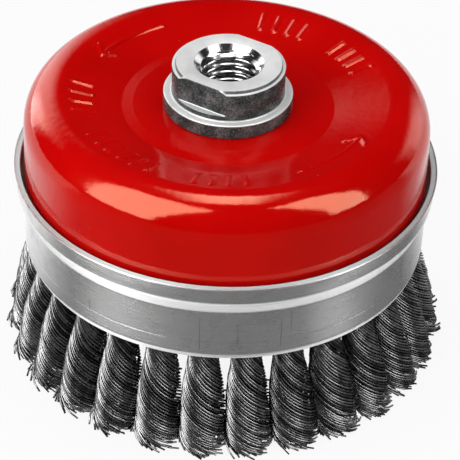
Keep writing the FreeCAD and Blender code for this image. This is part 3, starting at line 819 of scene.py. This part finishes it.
def wire_material():
    """Hard-drawn wire: dark grey, each wire a little lighter or darker at random and darker with painted
    shade the deeper it lies, with uneven patches.
    """
    material, g, shader, here, _ = new_material("hard_wire")
    tone_and_shade = g.node("Attribute", attribute_name="tone_and_shade").outputs["Fac"]
    patches = g.noise(here, 420, 3, 0.6)
    mixed = g.plus(g.times(tone_and_shade, 0.6), g.times(patches, 0.5))
    colour = g.ramp(mixed, (0.2, grey(0.022)), (0.45, grey(0.085)), (0.9, (0.47, 0.47, 0.469)))
    g.dress(shader, Base_Color=colour, Metallic=0.85, Roughness=g.between(patches, 0.3, 0.7, 0.22, 0.3))
    return material


# Stage. Lamps: azimuth, elevation, distance, width, height, strength, and for the ones in gloss the
# shares of their width and height over which they fade. Azimuth 0 is the camera's side and grows to
# the right.
GLOSS_LAMPS = {
    "left_box": (-55, 40, 700, 540, 930, 8.0, (0.05, 0.05)),
    "right_box": (67, 38, 700, 300, 860, 7.6, (0.08, 0.05)),
    "over_box": (180, 83.4, 216, 116, 140, 8.5, (0.45, 0.2)),
    "left_wall": (-145, 17, 700, 720, 720, 2.1, (0.4, 0.3)),
    "left_panel": (-133, 9, 680, 300, 560, 2.6, (0.4, 0.3)),
    "right_wall": (130, 14, 700, 540, 480, 1.8, (0.4, 0.3))}
FILL_LAMPS = {
    "left_fill": (-60, 32, 700, 600, 640, 2.2),
    "right_fill": (66, 28, 700, 520, 640, 0.7),
    "over_fill": (175, 74, 800, 700, 420, 1.6)}
LAMP_TARGET = (0, 0, 45)
SKY_LIGHT, SKY_IN_GLOSS = 0.45, 0.02
FLOOR_WHITE = 0.9      # share of the floor's white that its shadows don't darken
FLOOR_HALF, FLOOR_PAPER = 3000, 0.8

# The floor in gloss. Places and distances from the axis are in metres.
UNDER_RING = (0.040, 0.044, 0.050, 0.054)       # white where the ring's lower edge shows it
BEHIND_TURN, BEHIND_START, BEHIND_END, FRONT_GLOW = 0.2, -0.02, 0.045, 0.09
PAPER_START, PAPER_END = 0.050, 0.062
GLOW_SPOTS, SPOT_EDGE, SPOT_CORE, SPOT_GLOW = (-0.0605, 0.0605), 0.028, 0.006, 0.3
SPOT_FRONT = -0.057


def aim(obj, where, target):
    """Puts a lamp at a place, with its light towards a target."""
    back = (where - target) / np.linalg.norm(where - target)
    side = np.cross([0.0, 0.0, 1.0] if abs(back[2]) < 0.99 else [0.0, 1.0, 0.0], back)
    side /= np.linalg.norm(side)
    over = np.cross(back, side)
    obj.matrix_world = Matrix([[side[i], over[i], back[i], where[i]] for i in range(3)] + [[0, 0, 0, 1]])


def lamp(name, azimuth, elevation, distance, width, height, strength, fade=None):
    """A soft box that only gloss shows, if it has a fade, and otherwise one that only lights."""
    light = bpy.data.lights.new(name, "AREA")
    light.shape, light.size, light.size_y = "RECTANGLE", width * MM, height * MM
    light.energy = strength * math.pi * width * height * MM * MM
    obj = bpy.data.objects.new(name, light)
    bpy.context.scene.collection.objects.link(obj)
    a, e = math.radians(azimuth), math.radians(elevation)
    way = np.array([math.sin(a) * math.cos(e), -math.cos(a) * math.cos(e), math.sin(e)])
    target = np.array(LAMP_TARGET)
    aim(obj, (way * distance + target) * MM, target * MM)
    obj.visible_camera = False
    if not fade:
        obj.visible_glossy = False
        return
    obj.visible_diffuse = False
    light.use_nodes = True
    g = Graph(light.node_tree)
    shares = []
    for along, share in zip(g.split(g.node("NewGeometry").outputs["Parametric"]), fade):
        inward = g.minus(0.5, g.maths("ABSOLUTE", g.minus(along, 0.5)))
        shares.append(g.smooth(inward, 0.0, share))
    g.feed(g.nodes["Emission"].inputs["Strength"], g.times(*shares))


def make_lamps():
    """In gloss two boxes in front, one overhead and three pale walls at the back, and three fills."""
    for name, settings in {**GLOSS_LAMPS, **FILL_LAMPS}.items():
        lamp(name, *settings)


def make_world():
    """White to the camera, and a dim room in what gloss shows."""
    world = bpy.data.worlds.new("studio")
    world.use_nodes = True
    bpy.context.scene.world = world
    g = Graph(world.node_tree)
    light = g.nodes["Background"]
    g.dress(light, Color=WHITE, Strength=SKY_LIGHT)
    seen = g.node("Background", WHITE, g.white_or(SKY_IN_GLOSS))
    shown = g.mix(g.seen_directly(), light.outputs[0], seen.outputs[0])
    g.feed(g.nodes["World Output"].inputs[0], shown)


def make_floor():
    """White paper. In metal it shows white behind the brush and under the ring's edge, and dim in front
    but for a spot on either side."""
    corners = np.array([(-1, -1, 0), (1, -1, 0), (1, 1, 0), (-1, 1, 0)], float) * FLOOR_HALF
    floor = mesh_object("floor", corners, [np.array([[0, 1, 2, 3]])])
    material, g, shader, here, _ = new_material("floor_paper")
    g.nodes.remove(shader)
    x, y, _ = g.split(here)
    away = g.measure("LENGTH", here)
    start, full, full_end, end = UNDER_RING
    under = g.times(g.smooth(away, start, full), g.smooth(away, end, full_end))
    behind = g.minus(y, g.times(BEHIND_TURN, x))
    glow = g.smooth(behind, BEHIND_START, BEHIND_END, FRONT_GLOW, 1.0)
    for spot in GLOW_SPOTS:
        apart = g.measure("DISTANCE", here, (spot, SPOT_FRONT, 0.0))
        glow = g.most(glow, g.smooth(apart, SPOT_EDGE, SPOT_CORE, 0.0, SPOT_GLOW))
    reflected = g.most(under, g.times(glow, g.smooth(away, PAPER_START, PAPER_END)))
    paper = g.node("BsdfDiffuse", grey(FLOOR_PAPER))
    white = g.node("Emission", WHITE, g.white_or(reflected))
    shown = g.mix(g.times(g.seen_directly(), FLOOR_WHITE), paper.outputs[0], white.outputs[0])
    g.feed(g.nodes["Material Output"].inputs[0], shown)
    floor.data.materials.append(material)


# Camera, at the photograph's angle
CAMERA_ELEVATION, CAMERA_ROLL = math.radians(37.37), math.radians(-1.93)
CAMERA_PLACE = (0.0, -357.63, 299.44)
CAMERA_FOCAL, PHOTO_WIDTH, SENSOR_WIDTH = 1921.5, 460.0, 36
CAMERA_NEAR, CAMERA_FAR = 0.01, 20
AXIS_X, AXIS_Y = -6.5, -7.5     # pixels from the picture's middle to where the level camera would aim


def make_camera():
    """The photograph's camera: raised, turned a little off the axis and rolled."""
    forward = np.array([0, math.cos(CAMERA_ELEVATION), -math.sin(CAMERA_ELEVATION)])
    right = np.array([1.0, 0, 0])
    up = np.cross(right, forward)
    yaw, pitch = math.atan2(AXIS_X, CAMERA_FOCAL), math.atan2(AXIS_Y, CAMERA_FOCAL)
    x = right * math.cos(yaw) + forward * math.sin(yaw)
    z = -right * math.sin(yaw) + forward * math.cos(yaw)
    y = up * math.cos(pitch) - z * math.sin(pitch)
    z = up * math.sin(pitch) + z * math.cos(pitch)
    x, y = (x * math.cos(CAMERA_ROLL) - y * math.sin(CAMERA_ROLL),
            x * math.sin(CAMERA_ROLL) + y * math.cos(CAMERA_ROLL))
    data = bpy.data.cameras.new("camera")
    data.sensor_width = SENSOR_WIDTH
    data.lens = CAMERA_FOCAL / PHOTO_WIDTH * SENSOR_WIDTH
    data.clip_start, data.clip_end = CAMERA_NEAR, CAMERA_FAR
    camera = bpy.data.objects.new("camera", data)
    bpy.context.scene.collection.objects.link(camera)
    rows = [[x[i], y[i], -z[i], CAMERA_PLACE[i] * MM] for i in range(3)]
    camera.matrix_world = Matrix(rows + [[0, 0, 0, 1]])
    bpy.context.scene.camera = camera


bpy.context.scene.view_settings.view_transform = "Standard"
make_camera()
make_world()
make_lamps()
make_floor()
make_cup(paint_material())
make_ring(ring_material())
make_nut(nut_material())
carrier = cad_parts["knot_carrier"]
carrier.data.materials.clear()
carrier.data.materials.append(carrier_material())
wire = wire_material()
for index in range(KNOTS):
    make_knot(index, wire)
